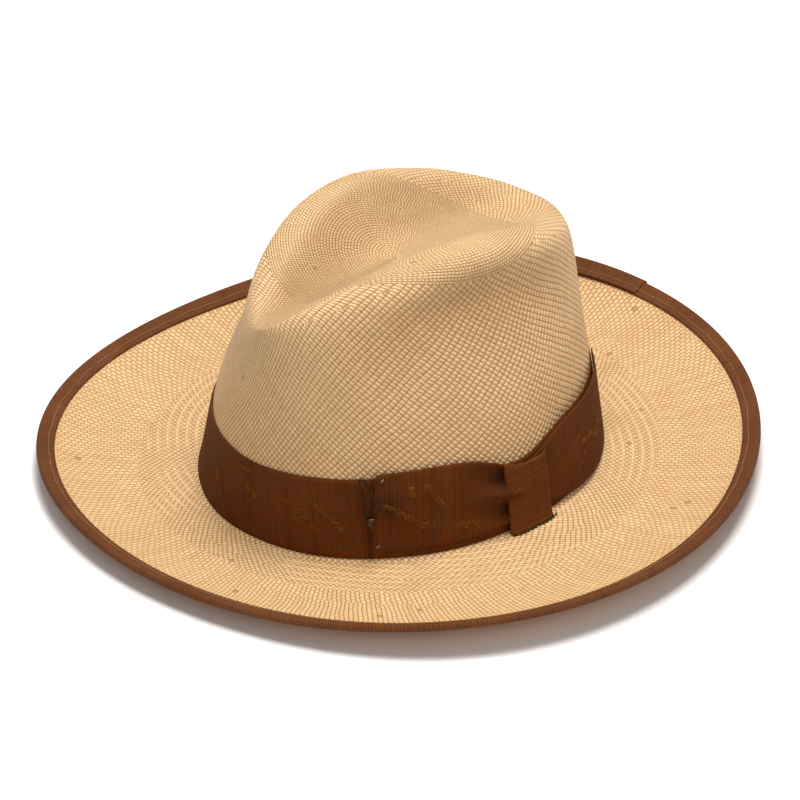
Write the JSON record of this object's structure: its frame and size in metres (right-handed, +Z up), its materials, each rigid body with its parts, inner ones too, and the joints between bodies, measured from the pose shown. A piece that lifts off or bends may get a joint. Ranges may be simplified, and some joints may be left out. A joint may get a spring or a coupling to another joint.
{
  "type": "straw hat",
  "caption": "Woven straw hat with a teardrop crown, a grosgrain ribbon band with a flat bow, a ribbon-bound brim, a leather sweatband and a small safety pin on the band.",
  "frame": {"origin": "centre of the head opening, on the plane that the hat stands on", "axes": "+Z up, -Y toward the front of the hat, +X toward the wearer's left, where the bow is"},
  "size_m": [0.3259, 0.3484, 0.1254],
  "materials": {
    "straw": "woven toquilla straw, uneven natural tan, dry matte",
    "ribbon": "worn brown grosgrain ribbon with frayed golden snags",
    "knot_ribbon": "brown grosgrain ribbon, cleaner and redder",
    "thread": "light tan sewing thread",
    "dark_thread": "dark brown sewing thread",
    "sweat_leather": "tan leather, softly creased",
    "reed_core": "plain reed cord",
    "cotton_tape": "fine plain-woven tape",
    "white_thread": "off-white sewing thread",
    "satin": "black satin",
    "pin_wire": "tarnished bent wire",
    "pin_brass": "dark tarnished brass"
  },
  "bodies": {
    "hat": {"straw_tip": "straw", "straw_side": "straw", "straw_brim": "straw", "brim_binding": "ribbon", "binding_lap": "ribbon", "binding_stitches": "thread", "hat_band": "ribbon", "bow_leaf": "ribbon", "bow_tail": "ribbon", "bow_knot": "knot_ribbon", "bow_tack_stitches": "thread", "band_tack_stitches": "dark_thread", "sweatband": "sweat_leather", "reed": "reed_core", "reed_tape": "cotton_tape", "sweatband_stitches": "white_thread", "sweat_bow": "satin", "sweat_bow_knot": "satin", "pin_back": "pin_wire", "pin_cap": "pin_brass"},
    "pin_arm": {"pin_arm": "pin_wire"}
  },
  "joints": [
    {"name": "pin_opening", "type": "hinge", "parent": "hat", "child": "pin_arm", "pos_m": [0.0427, -0.08777, 0.0429], "axis": [0.6378, -0.751, 0.1709], "range_deg": [0, 40]}
  ]
}
